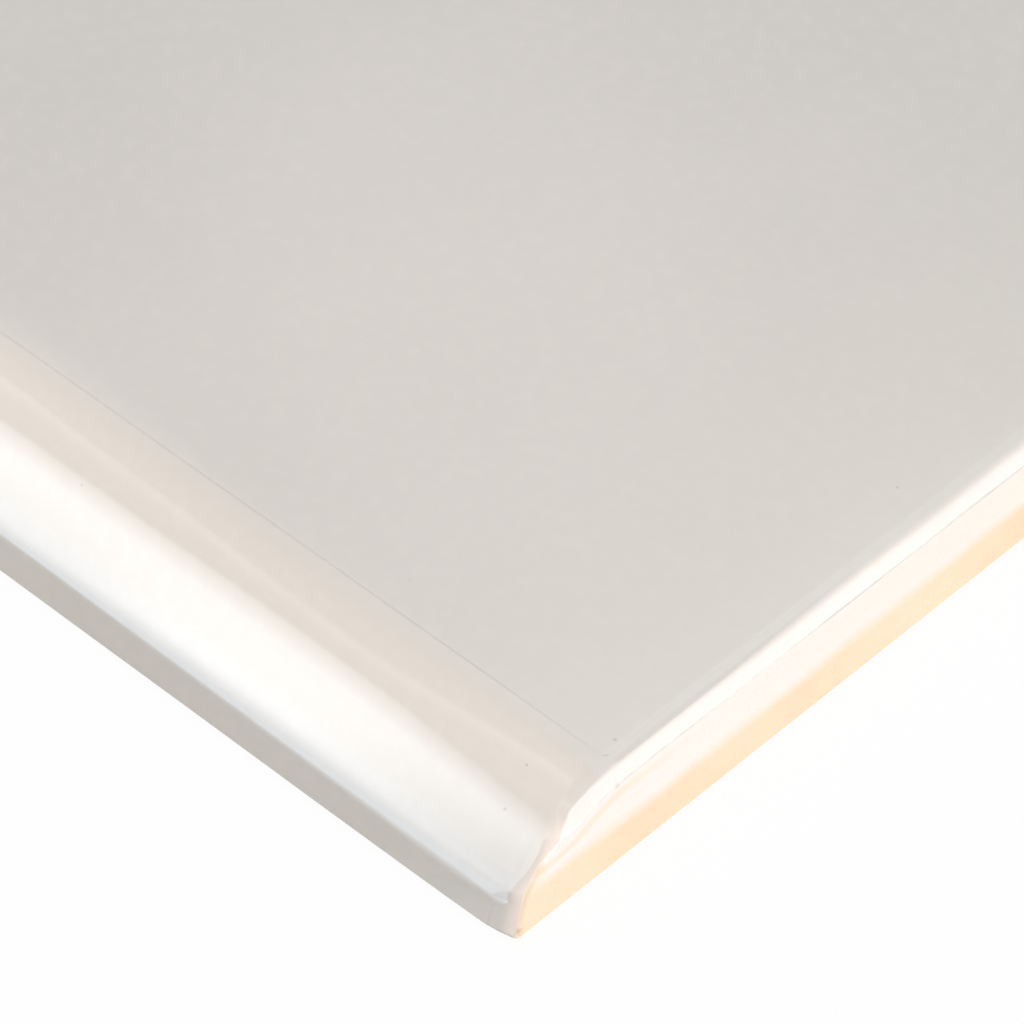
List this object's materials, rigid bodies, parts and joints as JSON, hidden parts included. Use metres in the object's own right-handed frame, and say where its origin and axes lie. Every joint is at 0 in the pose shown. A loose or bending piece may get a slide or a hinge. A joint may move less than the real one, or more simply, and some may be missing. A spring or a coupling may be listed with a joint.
{
  "type": "bullnose tile",
  "caption": "Square glazed ceramic wall tile with a rounded, glazed bullnose edge that finishes the border of a tiled surface, and plain edges that butt against its neighbours.",
  "frame": {"origin": "middle of the back, on the back's plane", "axes": "+Z out of the glazed face, -Y out of the bullnose edge, +X along the bullnose edge"},
  "size_m": [0.108, 0.1079, 0.008],
  "materials": {
    "glazed_earthenware": "gloss"
  },
  "bodies": {
    "root": {"bullnose_tile": "glazed_earthenware"}
  },
  "joints": []
}
